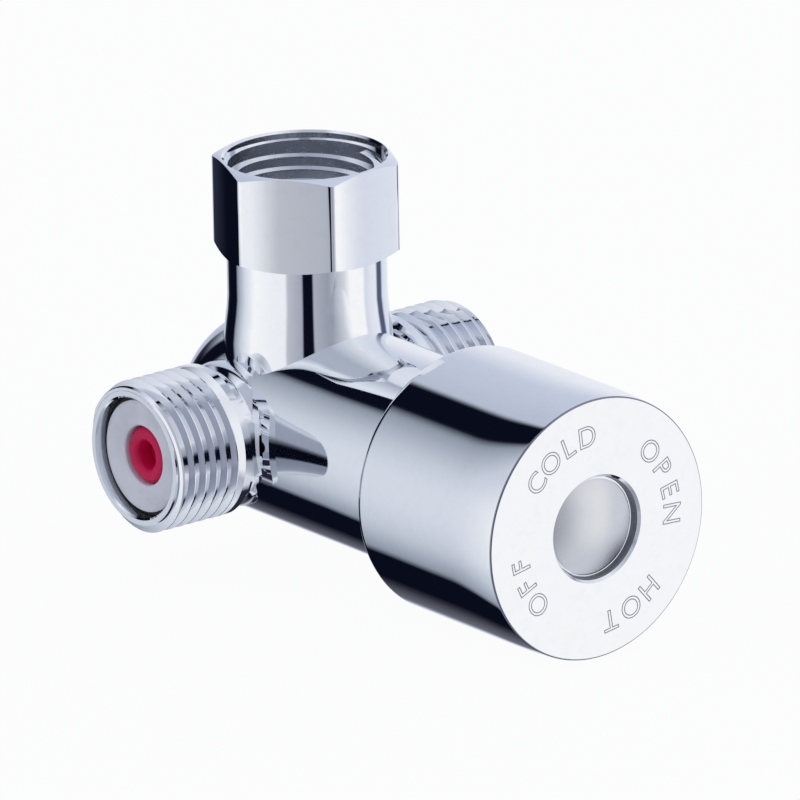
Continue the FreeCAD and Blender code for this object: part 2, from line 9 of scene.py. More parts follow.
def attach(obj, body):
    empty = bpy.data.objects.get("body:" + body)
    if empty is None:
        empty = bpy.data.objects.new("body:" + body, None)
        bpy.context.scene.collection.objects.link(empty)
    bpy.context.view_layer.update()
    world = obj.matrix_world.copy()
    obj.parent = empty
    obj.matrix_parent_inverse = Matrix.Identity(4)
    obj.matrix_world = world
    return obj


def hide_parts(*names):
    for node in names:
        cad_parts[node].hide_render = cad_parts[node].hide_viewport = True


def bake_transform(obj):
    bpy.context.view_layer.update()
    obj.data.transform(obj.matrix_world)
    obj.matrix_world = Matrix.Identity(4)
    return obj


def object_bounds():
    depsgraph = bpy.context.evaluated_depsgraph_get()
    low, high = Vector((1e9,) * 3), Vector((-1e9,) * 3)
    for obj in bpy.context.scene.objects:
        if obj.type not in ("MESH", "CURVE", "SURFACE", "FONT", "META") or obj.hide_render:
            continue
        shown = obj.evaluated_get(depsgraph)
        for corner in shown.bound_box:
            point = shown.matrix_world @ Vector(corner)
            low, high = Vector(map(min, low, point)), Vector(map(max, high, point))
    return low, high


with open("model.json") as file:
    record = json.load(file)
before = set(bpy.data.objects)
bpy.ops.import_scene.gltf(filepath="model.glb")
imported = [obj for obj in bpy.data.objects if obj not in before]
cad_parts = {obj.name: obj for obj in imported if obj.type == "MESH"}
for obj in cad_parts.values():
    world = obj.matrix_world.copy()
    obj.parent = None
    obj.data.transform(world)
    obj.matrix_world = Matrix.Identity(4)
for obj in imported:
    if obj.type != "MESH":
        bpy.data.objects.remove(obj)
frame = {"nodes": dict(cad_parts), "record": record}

bl_info = {
    "name": "Mixing Valve",
    "version": (1, 0, 0),
    "blender": (4, 5, 0),
    "location": "View3D > Sidebar > Valve",
    "description": "Dresses the packed mixing valve with threads, lettering, finishes and a studio",
    "category": "Add Mesh",
}

CAD_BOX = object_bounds()
MM = 0.001
ROW_Z = 36.2                # height of the row's origin above the knob's axis, mm

# Turned forms, in mm from the point where the outlet's and the knob's axes meet
BARREL_R, BARREL_FRONT, DOME_Y = 14.4, -34.6, 5.3
INLET_Y, INLET_Z = 2.8, -0.3
INLET_END = {"hot": -27.9, "cold": 28.1}
INLET_FLOOR_X = 12.4
KNOB_R, KNOB_FACE, KNOB_REAR, KNOB_WALL = 18.4, -62.0, -33.7, 2.0
CAP_BORE_R, CAP_FLOOR = 7.15, -56.5
HEX_ANGLE = math.radians(8.8)
HEX_LOW, HEX_TOP = 24.0, 37.4
PORTS = {"cold": (-4.6, -1.8), "mixed": (0.6, 4.8), "hot": (7.2, 10.0)}

# Springs: mean radius of the coil, radius of the wire, turns
CHECK_COIL = (3.4, 0.25, 4)
RETURN_COIL = (3.95, 0.38, 3.5)
CHECK_HEAD, CHECK_GUIDE = 5.3, 10.2      # depths of a check spring's ends below the inlet's end
SHUTTLE_WEB_Y, CARTRIDGE_CAP_Y = 7.0, 12.8


# ---------------------------------------------------------------- properties

class ValveSizes(bpy.types.PropertyGroup):
    thread_radius: FloatProperty(
        name="Thread radius", description="Crest radius of the pipe threads",
        default=10.4775 * MM, unit="LENGTH")
    thread_depth: FloatProperty(
        name="Thread depth", description="Height of the thread from root to crest",
        default=1.162 * MM, unit="LENGTH")
    thread_pitch: FloatProperty(
        name="Thread pitch", description="Distance from one crest to the next",
        default=1.814 * MM, unit="LENGTH")
    letter_height: FloatProperty(
        name="Letter height", description="Height of the words engraved in the knob's face",
        default=3.05 * MM, unit="LENGTH")
    letter_line: FloatProperty(
        name="Engraved line", description="Half the width of the engraved outline",
        default=0.075 * MM, unit="LENGTH")


class ValveFinishes(bpy.types.PropertyGroup):
    chrome: FloatVectorProperty(
        name="Chrome", description="Colour of the polished plating", subtype="COLOR",
        default=(0.90, 0.915, 0.94), min=0, max=1)
    satin: FloatVectorProperty(
        name="Satin chrome", description="Colour of the knob's cover", subtype="COLOR",
        default=(0.74, 0.75, 0.77), min=0, max=1)
    hot: FloatVectorProperty(
        name="Hot poppet", description="Colour of the hot side's check valve", subtype="COLOR",
        default=(0.70, 0.005, 0.085), min=0, max=1)
    cold: FloatVectorProperty(
        name="Cold poppet", description="Colour of the cold side's check valve", subtype="COLOR",
        default=(0.02, 0.09, 0.50), min=0, max=1)
    housing: FloatVectorProperty(
        name="Check housing", description="Colour of the check valves' plastic", subtype="COLOR",
        default=(0.80, 0.80, 0.86), min=0, max=1)


class StageSettings(bpy.types.PropertyGroup):
    lens: FloatProperty(
        name="Lens", description="Focal length of the studio camera, in millimetres",
        default=815.85)
    distance: FloatProperty(
        name="Camera distance", description="Distance from the camera to the valve",
        default=2.455, unit="LENGTH")
    light: FloatProperty(
        name="Light", description="Strength of the studio's soft light", default=1.0)


# ------------------------------------------------------------- shader graphs

class Wire:
    """A node's output, with operators that add Math nodes."""

    def __init__(self, tree, socket):
        self.tree, self.socket = tree, socket

    def math(self, operation, other=None, third=None, swap=False):
        node = self.tree.nodes.new("ShaderNodeMath")
        node.operation = operation
        values = [self, other, third] if not swap else [other, self, third]
        for socket, value in zip(node.inputs, values):
            if isinstance(value, Wire):
                self.tree.links.new(value.socket, socket)
            elif value is not None:
                socket.default_value = value
        return Wire(self.tree, node.outputs[0])

    def __add__(self, other): return self.math("ADD", other)
    def __radd__(self, other): return self.math("ADD", other)
    def __sub__(self, other): return self.math("SUBTRACT", other)
    def __rsub__(self, other): return self.math("SUBTRACT", other, swap=True)
    def __mul__(self, other): return self.math("MULTIPLY", other)
    def __rmul__(self, other): return self.math("MULTIPLY", other)
    def __truediv__(self, other): return self.math("DIVIDE", other)
    def __abs__(self): return self.math("ABSOLUTE")

    def step(self, low, high):
        """0 below low, 1 above high, smooth between them."""
        node = self.tree.nodes.new("ShaderNodeMapRange")
        node.interpolation_type = "SMOOTHSTEP"
        self.tree.links.new(self.socket, node.inputs["Value"])
        node.inputs["From Min"].default_value = low
        node.inputs["From Max"].default_value = high
        return Wire(self.tree, node.outputs["Result"])


class Graph:
    """Builds one material's or the world's node tree."""

    def __init__(self, owner):
        owner.use_nodes = True
        self.tree = owner.node_tree
        self.tree.nodes.clear()

    def node(self, kind, settings=(), **inputs):
        made = self.tree.nodes.new(kind)
        for key, value in dict(settings).items():
            if key == "stops":
                ramp = made.color_ramp
                for index, (place, colour) in enumerate(value):
                    stop = ramp.elements[index] if index < 2 else ramp.elements.new(place)
                    stop.position, stop.color = place, (*colour, 1)
            else:
                setattr(made, key, value)
        for name, value in inputs.items():
            socket = made.inputs[int(name[1:]) if name[0] == "i" and name[1:].isdigit()
                                 else name.replace("_", " ")]
            if isinstance(value, Wire):
                self.tree.links.new(value.socket, socket)
            elif isinstance(value, tuple) and len(value) == 3 and len(socket.default_value) == 4:
                socket.default_value = (*value, 1)
            else:
                socket.default_value = value
        return made

    def out(self, made, name=0):
        return Wire(self.tree, made.outputs[name])

    def place(self):
        return self.out(self.node("ShaderNodeTexCoord"), "Object")

    def noise(self, place, scale, detail=3.0, rough=0.5):
        made = self.node("ShaderNodeTexNoise", Vector=place, Scale=scale, Detail=detail,
                         Roughness=rough)
        return self.out(made, "Fac")

    def blend(self, factor, first, second):
        made = self.node("ShaderNodeMix", {"data_type": "RGBA"}, i0=factor, i6=first, i7=second)
        return self.out(made, 2)

    def bump(self, height, strength, distance):
        made = self.node("ShaderNodeBump", Height=height, Strength=strength, Distance=distance)
        return self.out(made, "Normal")

    def surface(self, shader):
        output = self.node("ShaderNodeOutputMaterial")
        self.tree.links.new(shader.outputs[0], output.inputs["Surface"])


def new_material(name):
    material = bpy.data.materials.new(name)
    return material, Graph(material)


def polished_plate(name, colour, rough=0.03, streak=0.012):
    """Bright plating over polished metal: faint wipe marks and the ripple of hand polishing."""
    material, g = new_material(name)
    place = g.place()
    ripple = g.noise(place, 120.0, 1.0)
    wipe = g.noise(place, 700.0, 4.0, 0.6)
    dull = tuple(0.97 * c for c in colour)
    shader = g.node("ShaderNodeBsdfPrincipled",
                    Base_Color=g.blend(wipe.step(0.45, 0.75), colour, dull),
                    Metallic=1.0, Roughness=rough + streak * wipe.step(0.4, 0.8),
                    Normal=g.bump(ripple, 0.05, 0.00010))
    g.surface(shader)
    return material


def satin_plate(name, colour):
    """Bead-blasted plating: fine grain that spreads the light."""
    material, g = new_material(name)
    place = g.place()
    grain = g.noise(place, 9000.0, 2.0)
    cloud = g.noise(place, 260.0, 3.0)
    dull = tuple(0.96 * c for c in colour)
    shader = g.node("ShaderNodeBsdfPrincipled", Base_Color=g.blend(cloud.step(0.4, 0.7), colour, dull),
                    Metallic=1.0, Roughness=0.24 + 0.05 * cloud,
                    Normal=g.bump(grain, 0.25, 0.00003))
    g.surface(shader)
    return material


def moulded(name, colour, rough=0.42, sheen=0.45):
    """Injection-moulded plastic: slight flow marks and a fine eggshell surface."""
    material, g = new_material(name)
    place = g.place()
    flow = g.noise(place, 220.0, 3.0)
    skin = g.noise(place, 4200.0, 2.0)
    deep = tuple(0.86 * c for c in colour)
    shader = g.node("ShaderNodeBsdfPrincipled", Base_Color=g.blend(flow.step(0.35, 0.7), colour, deep),
                    Roughness=rough + 0.1 * skin, IOR=1.48,
                    Normal=g.bump(skin, 0.12, 0.00003))
    shader.inputs["Specular IOR Level"].default_value = sheen
    g.surface(shader)
    return material


def machined(name, colour, rough=0.28):
    """Turned metal: fine tool marks across the axis and a little tarnish."""
    material, g = new_material(name)
    place = g.place()
    apart = g.node("ShaderNodeSeparateXYZ", Vector=place)
    lathe = (g.out(apart, "Y") * 26000.0).math("SINE")
    stain = g.noise(place, 180.0, 4.0)
    dull = tuple(0.72 * c for c in colour)
    shader = g.node("ShaderNodeBsdfPrincipled", Base_Color=g.blend(stain.step(0.4, 0.75), colour, dull),
                    Metallic=1.0, Roughness=rough + 0.12 * stain,
                    Normal=g.bump(lathe, 0.18, 0.00002))
    g.surface(shader)
    return material


def rubber(name, colour):
    material, g = new_material(name)
    place = g.place()
    bloom = g.noise(place, 500.0, 4.0)
    pale = tuple(2.4 * c for c in colour)
    shader = g.node("ShaderNodeBsdfPrincipled", Base_Color=g.blend(bloom.step(0.5, 0.9), colour, pale),
                    Roughness=0.62 + 0.2 * bloom, Normal=g.bump(bloom, 0.1, 0.00003))
    g.surface(shader)
    return material


def all_finishes():
    """Every finish by the name of the record's slot that it stands for."""
    p = bpy.context.scene.valve_finishes
    return {
        "polished_chrome": polished_plate("polished_chrome_plate", tuple(p.chrome)),
        "satin_chrome": satin_plate("satin_chrome_plate", tuple(p.satin)),
        "brass": machined("turned_brass", (0.72, 0.50, 0.20)),
        "black_plastic": moulded("black_acetal", (0.025, 0.026, 0.03), 0.4),
        "white_plastic": moulded("grey_white_acetal", tuple(p.housing), 0.4),
        "red_plastic": moulded("red_acetal", tuple(p.hot), 0.36, 0.25),
        "blue_plastic": moulded("blue_acetal", tuple(p.cold), 0.36, 0.25),
        # rougher plating of the machined bore; its darker colour is painted shade inside the outlet and
        # between its thread ridges
        "bore_plate": polished_plate("machined_bore_painted_shade", (0.80, 0.82, 0.87), 0.24, 0.08),
        # painted shade: dark grey plating on the knob's rim chamfers draws a thin dark line along the rims
        "edge_plate": polished_plate("eased_edge_painted_dark_line", (0.26, 0.27, 0.32), 0.12),
        # painted shade: darker plating in the roots between the inlets' thread ridges
        "valley_plate": polished_plate("thread_valleys_painted_shade", (0.66, 0.68, 0.74), 0.05),
        # painted shade: dark plating for the knob's hollow inside and the cover's recess, where shade falls
        "inner_plate": polished_plate("painted_shade_inside", (0.20, 0.205, 0.22), 0.38, 0.1),
        "black_rubber": rubber("nitrile_rubber", (0.018, 0.018, 0.02)),
        "spring_steel": machined("spring_wire", (0.55, 0.56, 0.58), 0.22),
        "ink": moulded("engraving_grey", (0.50, 0.51, 0.55), 0.6),
    }


FINISH = {}


# ------------------------------------------------------------ modelling kit

def point(x, y, z):
    """A place in the row frame, in metres, from one in mm on the knob's axis."""
    return Vector((x, y, z - ROW_Z)) * MM


AXES = {"X": Vector((1, 0, 0)), "Y": Vector((0, 1, 0)), "Z": Vector((0, 0, 1))}
TURNS = {"X": (0, math.pi / 2, 0), "Y": (-math.pi / 2, 0, 0), "Z": (0, 0, 0)}


def clear_selection():
    if bpy.context.object and bpy.context.object.mode != "OBJECT":
        bpy.ops.object.mode_set(mode="OBJECT")
    bpy.ops.object.select_all(action="DESELECT")


def pick(obj):
    clear_selection()
    obj.select_set(True)
    bpy.context.view_layer.objects.active = obj
    return obj


def settle(obj, name=None):
    """Puts the object at the origin with its place in its mesh."""
    pick(obj)
    bpy.ops.object.transform_apply(location=True, rotation=True, scale=True)
    if name:
        obj.name = obj.data.name = name
    return obj


def lathe(name, axis, profile, centre=(0.0, 0.0, 0.0), segments=192, hollow=False):
    """Turned solid: a ring is extruded and scaled from point to point of (radius, position).

    A radius of 0 at either end closes it there; a hollow one joins its last ring to its first."""
    along = AXES[axis]
    base = Vector(centre)
    points = list(profile)
    start_closed = points[0][0] == 0
    if start_closed:
        points.pop(0)
    end_closed = points[-1][0] == 0
    if end_closed:
        points.pop()

    def at(position):
        place = base.copy()
        place["XYZ".index(axis)] = position
        return point(*place)

    clear_selection()
    radius, position = points[0]
    bpy.ops.mesh.primitive_circle_add(vertices=segments, radius=radius * MM, location=at(position),
                                      rotation=TURNS[axis],
                                      fill_type="NGON" if start_closed else "NOTHING")
    obj = bpy.context.object
    bpy.ops.object.transform_apply(location=True, rotation=True, scale=True)
    bpy.ops.object.mode_set(mode="EDIT")
    bpy.ops.mesh.select_mode(type="EDGE")
    bpy.ops.mesh.select_all(action="SELECT")
    for new_radius, new_position in points[1:]:
        bpy.ops.mesh.extrude_edges_move(
            TRANSFORM_OT_translate={"value": along * (new_position - position) * MM})
        if new_radius != radius:
            ratio = new_radius / radius
            scale = [1.0 if letter == axis else ratio for letter in "XYZ"]
            bpy.ops.transform.resize(value=scale, center_override=at(new_position))
        radius, position = new_radius, new_position
    if end_closed:
        bpy.ops.mesh.edge_face_add()
    elif hollow:
        bpy.ops.mesh.select_all(action="DESELECT")
        bpy.ops.mesh.select_non_manifold()
        bpy.ops.mesh.bridge_edge_loops()
    bpy.ops.mesh.select_all(action="SELECT")
    bpy.ops.mesh.normals_make_consistent(inside=False)
    bpy.ops.object.mode_set(mode="OBJECT")
    obj.name = obj.data.name = name
    return obj


def block(name, low, high):
    """Rectangular block between two corners."""
    clear_selection()
    low, high = Vector(low), Vector(high)
    bpy.ops.mesh.primitive_cube_add(size=1, location=point(*((low + high) / 2)),
                                    scale=(high - low) * MM)
    return settle(bpy.context.object, name)


def combine(target, others, operation):
    """Applies a Boolean for each of the others and removes them."""
    for other in others:
        pick(target)
        modifier = target.modifiers.new("cut", "BOOLEAN")
        modifier.operation, modifier.solver, modifier.object = operation, "EXACT", other
        modifier.material_mode = "TRANSFER"
        bpy.ops.object.modifier_apply(modifier=modifier.name)
        bpy.data.objects.remove(other, do_unlink=True)
    return target


def smooth(obj, degrees=30.0):
    """Smooth shading that leaves large faces true beside their narrow chamfers."""
    pick(obj)
    bpy.ops.object.shade_smooth_by_angle(angle=math.radians(degrees))
    modifier = obj.modifiers.new("true_faces", "WEIGHTED_NORMAL")
    modifier.weight, modifier.keep_sharp = 100, True
    bpy.ops.object.modifier_apply(modifier=modifier.name)
    return obj


def wear(obj, slot):
    """Gives the piece the finish of one of the record's slots."""
    obj.data.materials.clear()
    obj.data.materials.append(FINISH[slot])
    return obj


def arc(centre_r, centre_a, radius, start, end, count):
    """Points of an arc in (radius, position), angles in degrees from outwards towards +axis."""
    found = []
    for index in range(count + 1):
        angle = math.radians(start + (end - start) * index / count)
        found.append((centre_r + radius * math.cos(angle), centre_a + radius * math.sin(angle)))
    return found


def thread_pitch():
    return bpy.context.scene.valve_sizes.thread_pitch / MM


def thread_coil(name, axis, centre, start, turns, crest, root, width=0.6):
    """One closed helical ridge that stands on the root, or hangs from it in a bore."""
    pitch = thread_pitch()
    sink = 0.06 if crest > root else -0.06
    half_root, half_mid, half_crest = (width * share * pitch for share in (0.24, 0.14, 0.06))
    corners = [(root - sink, -half_root), (root, -half_root), (0.5 * (root + crest), -half_mid),
               (crest, -half_crest), (crest, half_crest), (0.5 * (root + crest), half_mid),
               (root, half_root), (root - sink, half_root)]
    return helix(name, axis, centre, start, turns, pitch, corners, 96)


def coil_spring(name, axis, centre, low, high, mean, wire, turns):
    """A compression spring whose wire spans exactly from low to high."""
    around = [math.radians(30 * k) for k in range(12)]
    corners = [(mean + wire * math.cos(a), wire * math.sin(a)) for a in around]
    return helix(name, axis, centre, low + wire, turns, (high - low - 2 * wire) / turns, corners, 48)


def helix(name, axis, centre, start, turns, pitch, corners, turn_steps):
    """A profile of (radius, along) corners swept by a Screw modifier and capped."""
    clear_selection()
    place = list(centre)
    place["XYZ".index(axis)] = start
    bpy.ops.mesh.primitive_circle_add(vertices=len(corners), radius=MM, location=point(*place),
                                      fill_type="NOTHING")
    obj = bpy.context.object
    across = "Z" if axis != "Z" else "X"
    for vertex, (radius, along) in zip(obj.data.vertices, corners):
        vertex.co = (AXES[across] * radius + AXES[axis] * along) * MM
    screw = obj.modifiers.new("helix", "SCREW")
    rounds = math.ceil(turns)
    screw.axis, screw.angle, screw.iterations = axis, 2 * math.pi * turns / rounds, rounds
    screw.screw_offset = pitch * turns / rounds * MM
    screw.steps = screw.render_steps = round(turn_steps * turns / rounds)
    screw.use_merge_vertices = False
    bpy.ops.object.modifier_apply(modifier=screw.name)
    bpy.ops.object.mode_set(mode="EDIT")
    bpy.ops.mesh.select_mode(type="EDGE")
    bpy.ops.mesh.select_all(action="SELECT")
    bpy.ops.mesh.remove_doubles(threshold=1e-7)
    bpy.ops.mesh.select_all(action="DESELECT")
    bpy.ops.mesh.select_non_manifold()
    bpy.ops.mesh.edge_face_add()
    bpy.ops.mesh.select_all(action="SELECT")
    bpy.ops.mesh.normals_make_consistent(inside=False)
    bpy.ops.object.mode_set(mode="OBJECT")
    return settle(obj, name)


# --------------------------------------------------------------- operators

class VALVE_OT_finishes(bpy.types.Operator):
    """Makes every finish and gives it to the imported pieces"""
    bl_idname = "valve.finishes"
    bl_label = "Finishes"

    def execute(self, context):
        FINISH.update(all_finishes())
        wanted = {row["node"]: row["material_slot"] for row in frame["record"]["subparts"]}
        for node, obj in frame["nodes"].items():
            obj.data.materials.clear()
            obj.data.materials.append(FINISH[wanted[node]])
            obj.visible_glossy = False
        return {"FINISHED"}


class VALVE_OT_body(bpy.types.Operator):
    """Casts the body: barrel, neck, hexagon and stubs, then bores and threads it"""
    bl_idname = "valve.body"
    bl_label = "Body"

    def execute(self, context):
        sizes = context.scene.valve_sizes
        crest = sizes.thread_radius / MM
        root = crest - sizes.thread_depth / MM
        barrel = lathe("valve_casting", "Y",
                       [(0, BARREL_FRONT), (BARREL_R - 0.7, BARREL_FRONT),
                        (BARREL_R - 0.2, BARREL_FRONT + 0.2),
                        (BARREL_R, BARREL_FRONT + 0.7), (BARREL_R, -20), (BARREL_R, -8)]
                       + arc(0, DOME_Y, BARREL_R, 0, 88, 40)
                       + [(0, DOME_Y + BARREL_R)], segments=256)
        neck = lathe("neck", "Z",
                     [(0, 0), (11.5, 0), (11.5, 11.0), (11.45, 12.5), (11.2, 14.5), (10.95, 16.5),
                      (10.85, 18.5), (10.85, HEX_LOW + 0.5), (0, HEX_LOW + 0.5)], segments=256)
        outer = combine(barrel, [neck, self.hexagon()], "UNION")
        threads = {}
        for side, end in INLET_END.items():
            blank, coil = self.stub(side, end, crest, root)
            outer = combine(outer, [blank], "UNION")
            threads[f"{side}_inlet_thread"] = coil
        body = combine(outer, self.bores(crest), "DIFFERENCE")
        turns = int(12.0 / (sizes.thread_pitch / MM))
        threads["outlet_thread"] = thread_coil("outlet", "Z", (0, 0, 0), ROW_Z - 11.4, turns,
                                               root, crest, 0.45)
        wear(smooth(body), "polished_chrome")
        body.data.materials.append(FINISH["bore_plate"])
        body.data.materials.append(FINISH["valley_plate"])
        for polygon in body.data.polygons:
            inlet_radius = math.hypot(polygon.center.y / MM - INLET_Y,
                                      polygon.center.z / MM + ROW_Z - INLET_Z)
            # faces at the thread root beyond the inlets' shoulders take the darker valley plating: painted
            # shade between the ridges
            if abs(polygon.center.x) > 20 * MM and abs(inlet_radius - root) < 0.1:
                polygon.material_index = 2
            height = polygon.center.z / MM + ROW_Z
            radius = math.hypot(polygon.center.x, polygon.center.y) / MM
            # the outlet's bore and its thread valleys take the bore plating: rougher from machining, darker
            # as painted shade
            if radius < crest + 0.1 and 12.0 < height < ROW_Z + 0.1:
                polygon.material_index = 1
        for name, thread in threads.items():
            thread.name = thread.data.name = name
            wear(smooth(thread), "polished_chrome")
            thread.visible_glossy = False
            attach(thread, "body")
        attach(body, "body")
        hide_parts("valve_body")
        return {"FINISHED"}

    def hexagon(self):
        """Six flats, slightly crowned and eased at the corners by polishing, with turned ends."""
        flat = 13.05 * math.cos(math.pi / 6)
        turn = 0.45 * (13.05 - flat)
        clear_selection()
        bpy.ops.mesh.primitive_cylinder_add(vertices=6 * 24, radius=flat * MM, depth=(HEX_TOP - HEX_LOW) * MM,
                                            location=point(0, 0, (HEX_TOP + HEX_LOW) / 2))
        prism = settle(bpy.context.object, "hexagon")
        for vertex in prism.data.vertices:
            angle = math.atan2(vertex.co.y, vertex.co.x) - HEX_ANGLE
            from_middle = (angle % (math.pi / 3)) - math.pi / 6
            share = abs(math.tan(from_middle)) / math.tan(math.pi / 6)
            across = flat + 0.20 * (1 - share * share)
            radius = min(across / math.cos(from_middle), 12.84 + 1.0 * (1 - share))
            vertex.co.x, vertex.co.y = (radius * MM * math.cos(angle + HEX_ANGLE),
                                        radius * MM * math.sin(angle + HEX_ANGLE))
        envelope = lathe("turned_ends", "Z",
                         [(0, HEX_LOW), (flat, HEX_LOW), (13.05, HEX_LOW + turn), (13.4, HEX_LOW + 1.2),
                          (13.4, HEX_TOP - 1.2), (13.05, HEX_TOP - turn), (flat, HEX_TOP), (0, HEX_TOP)],
                         segments=256)
        return combine(prism, [envelope], "INTERSECT")

    def stub(self, side, end, crest, root):
        """An inlet: relief, shoulder ring and threaded nose with a chamfered end."""
        s = 1 if end > 0 else -1
        reach = abs(end)
        shoulder = reach - 11.2
        centre = (0, INLET_Y, INLET_Z)
        blank = lathe(f"{side}_stub", "X",
                      [(0, 0), (10.0, 0), (10.0, s * 12.2), (9.6, s * 13.0), (9.15, s * 13.5),
                       (9.0, s * 13.9), (9.0, s * (shoulder - 1.4)),
                       (crest, s * (shoulder - 0.9)), (crest, s * (shoulder + 0.25)),
                       (root, s * (shoulder + 0.9)), (root, s * reach), (0, s * reach)], centre)
        pitch = thread_pitch()
        turns = int(11.2 / pitch) + 1
        first = shoulder + 0.2 if s > 0 else -(shoulder + 0.2) - turns * pitch
        coil = thread_coil(f"{side}_thread", "X", centre, first, turns, crest, root)
        limit = lathe("thread_limit", "X",
                      [(0, s * (shoulder - 0.2)), (crest + 0.5, s * (shoulder - 0.2)),
                       (crest + 0.5, s * (reach - 1.25)), (crest - 0.75, s * reach), (0, s * reach)], centre)
        coil = combine(coil, [limit], "INTERSECT")
        return blank, coil

    def bores(self, crest):
        """The bores, from the largest to the slots that join them."""
        cartridge = lathe("cartridge_bore", "Y",
                          [(0, BARREL_FRONT - 1), (12.6, BARREL_FRONT - 1), (12.6, BARREL_FRONT),
                           (12.0, BARREL_FRONT + 0.6),
                           (12.0, -24.5), (11.2, -23.7), (11.2, 10.4), (9.6, 10.4), (9.6, 13.1), (8.5, 14.2),
                           (0, 14.2)])
        outlet = lathe("outlet_bore", "Z",
                       [(0, 12.6), (8.5, 12.6), (8.5, ROW_Z - 13.0), (crest, ROW_Z - 12.0), (crest, ROW_Z),
                        (10.95, ROW_Z), (10.95, HEX_TOP - 0.3), (11.25, HEX_TOP), (11.25, HEX_TOP + 1),
                        (0, HEX_TOP + 1)], segments=256)
        near_port, far_port = PORTS["mixed"]
        cuts = [cartridge, outlet, block("mixed_slot", (-6, near_port, 5.2), (6, far_port, 13.6))]
        for side, end in INLET_END.items():
            s = 1 if end > 0 else -1
            cuts.append(lathe(f"{side}_bore", "X",
                              [(0, s * INLET_FLOOR_X), (7.3, s * INLET_FLOOR_X), (7.3, end - s * 3.2),
                               (8.35, end - s * 3.2), (8.35, end - s * 0.25), (8.6, end),
                               (8.6, end + s), (0, end + s)],
                              (0, INLET_Y, INLET_Z)))
            near, far = sorted((s * 6.0, s * (INLET_FLOOR_X + 0.5)))
            low, high = PORTS[side]
            half = math.sqrt(7.2 ** 2 - (max(abs(low - INLET_Y), abs(high - INLET_Y)) - 0.6) ** 2)
            cuts.append(block(f"{side}_slot", (near, low, INLET_Z - half), (far, high, INLET_Z + half)))
        return cuts


class VALVE_OT_knob(bpy.types.Operator):
    """Turns the knob's shell and engraves its words"""
    bl_idname = "valve.knob"
    bl_label = "Knob"

    def execute(self, context):
        inner = KNOB_R - KNOB_WALL
        face = KNOB_FACE
        boss = CAP_BORE_R + 1.9
        shell = lathe("control_knob", "Y",
                      [(CAP_BORE_R + 0.35, face), (9.0, face), (KNOB_R - 0.8, face), (KNOB_R - 0.55, face)]
                      + [(KNOB_R - 0.55 + 0.25 * math.sin(a), face + 0.25 - 0.25 * math.cos(a))
                         for a in (math.radians(15 * k) for k in range(1, 6))]
                      + [(KNOB_R - 0.30 * (1 - k / 24) ** 3, face + 0.25 + 9.5 * k / 24) for k in range(25)]
                      + [(KNOB_R, KNOB_REAR - 0.9),
                       (KNOB_R, KNOB_REAR - 0.6), (KNOB_R - 0.18, KNOB_REAR - 0.18),
                       (KNOB_R - 0.6, KNOB_REAR), (inner + 0.3, KNOB_REAR), (inner, KNOB_REAR - 0.3),
                       (inner, face + 4.2), (inner - 1.2, face + 3.0), (boss, face + 3.0), (boss, -51.3),
                       (4.15, -51.3), (4.15, -54.5), (2.2, -54.5), (2.2, CAP_FLOOR), (CAP_BORE_R, CAP_FLOOR),
                       (CAP_BORE_R, face + 0.35)], segments=256, hollow=True)
        ribs = []
        for index in range(6):
            rib = block("rib", (boss - 0.4, face + 2.5, -0.6), (inner + 0.4, face + 6.5, 0.6))
            pick(rib)
            bpy.ops.object.origin_set(type="ORIGIN_CURSOR")
            bpy.ops.transform.rotate(value=math.radians(30 + 60 * index), orient_axis="Y",
                                     center_override=point(0, 0, 0))
            ribs.append(settle(rib))
        shell = combine(shell, ribs, "UNION")
        words = engraving_tools()
        shell.data.materials.clear()
        shell.data.materials.append(FINISH["polished_chrome"])
        shell.data.materials.append(FINISH["inner_plate"])
        shell.data.materials.append(FINISH["edge_plate"])
        for polygon in shell.data.polygons:
            radius = math.hypot(polygon.center.x, polygon.center.z + ROW_Z * MM) / MM
            depth = polygon.center.y / MM - face
            # the knob's hollow inside and the walls of the cover's recess take the dark inside plating:
            # painted shade
            inside = CAP_BORE_R + 0.4 < radius < inner + 0.1 and depth > 2
            recess = radius < CAP_BORE_R + 0.1 and depth > 0.4
            if inside or recess:
                polygon.material_index = 1
            # the front and rear rim chamfers take the dark edge plating: a painted dark line along the rims
            elif (radius > KNOB_R - 0.56 and 0.01 < depth < 0.24) or depth > KNOB_REAR - face - 0.19:
                polygon.material_index = 2
        shell = combine(shell, words, "DIFFERENCE")
        smooth(shell)
        shell.visible_glossy = False
        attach(shell, "knob")
        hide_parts("knob")
        return {"FINISHED"}


WORDS = {                   # word: angle of its middle and between letters, degrees from +X towards +Z,
    "COLD": (118.0, 14.4, 13.1),        # and mm from the knob's axis to the middle of a letter
    "OPEN": (20.5, 15.6, 12.6),
    "HOT": (-65.5, 15.8, 13.3),
    "OFF": (205.0, 14.3, 13.0),
}


def engraving_tools():
    """Thin outlines of the letters, standing through the knob's face to be cut out of it."""
    sizes = bpy.context.scene.valve_sizes
    made = []
    for word, (middle, apart, reach) in WORDS.items():
        for index, letter in enumerate(word):
            angle = math.radians(middle - apart * (index - (len(word) - 1) / 2))
            clear_selection()
            bpy.ops.object.text_add(rotation=(math.pi / 2, 0, 0))
            text = bpy.context.object
            text.data.body = letter
            text.data.align_x, text.data.align_y = "CENTER", "CENTER"
            text.data.size = sizes.letter_height * 1.38
            text.data.fill_mode = "NONE"
            text.data.bevel_depth = sizes.letter_line
            text.data.bevel_resolution = 1
            bpy.ops.object.convert(target="MESH")
            text = bpy.context.object
            bpy.ops.object.transform_apply(location=True, rotation=True, scale=True)
            text.location = point(reach * math.cos(angle), KNOB_FACE, reach * math.sin(angle))
            text.rotation_euler.y = math.pi / 2 - angle
            settle(text, f"letter_{letter}")
            text.data.materials.append(FINISH["ink"])
            made.append(text)
    return made


